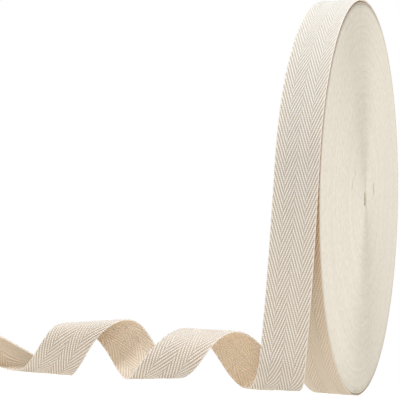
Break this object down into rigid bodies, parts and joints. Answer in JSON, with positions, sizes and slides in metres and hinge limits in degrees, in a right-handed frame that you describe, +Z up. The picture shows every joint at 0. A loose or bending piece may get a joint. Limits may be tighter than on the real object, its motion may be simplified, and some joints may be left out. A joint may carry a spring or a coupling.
{
  "type": "roll of cotton tape",
  "caption": "Wound roll of woven cotton herringbone tape standing on its rim, its loose end hanging down in front and curling away along the floor.",
  "frame": {"origin": "middle of the small flat spot on which the roll stands", "axes": "+X along the roll's axis, out of its open face; -Y the side where the tape hangs down; +Z up"},
  "size_m": [0.2035, 0.2157, 0.1963],
  "materials": {
    "tape_edges": "wound selvedges of natural cotton tape, matte, fine turns",
    "cotton_tape": "natural cotton herringbone weave, matte"
  },
  "bodies": {
    "root": {"tape_roll": "tape_edges", "loose_end": "cotton_tape"}
  },
  "joints": []
}
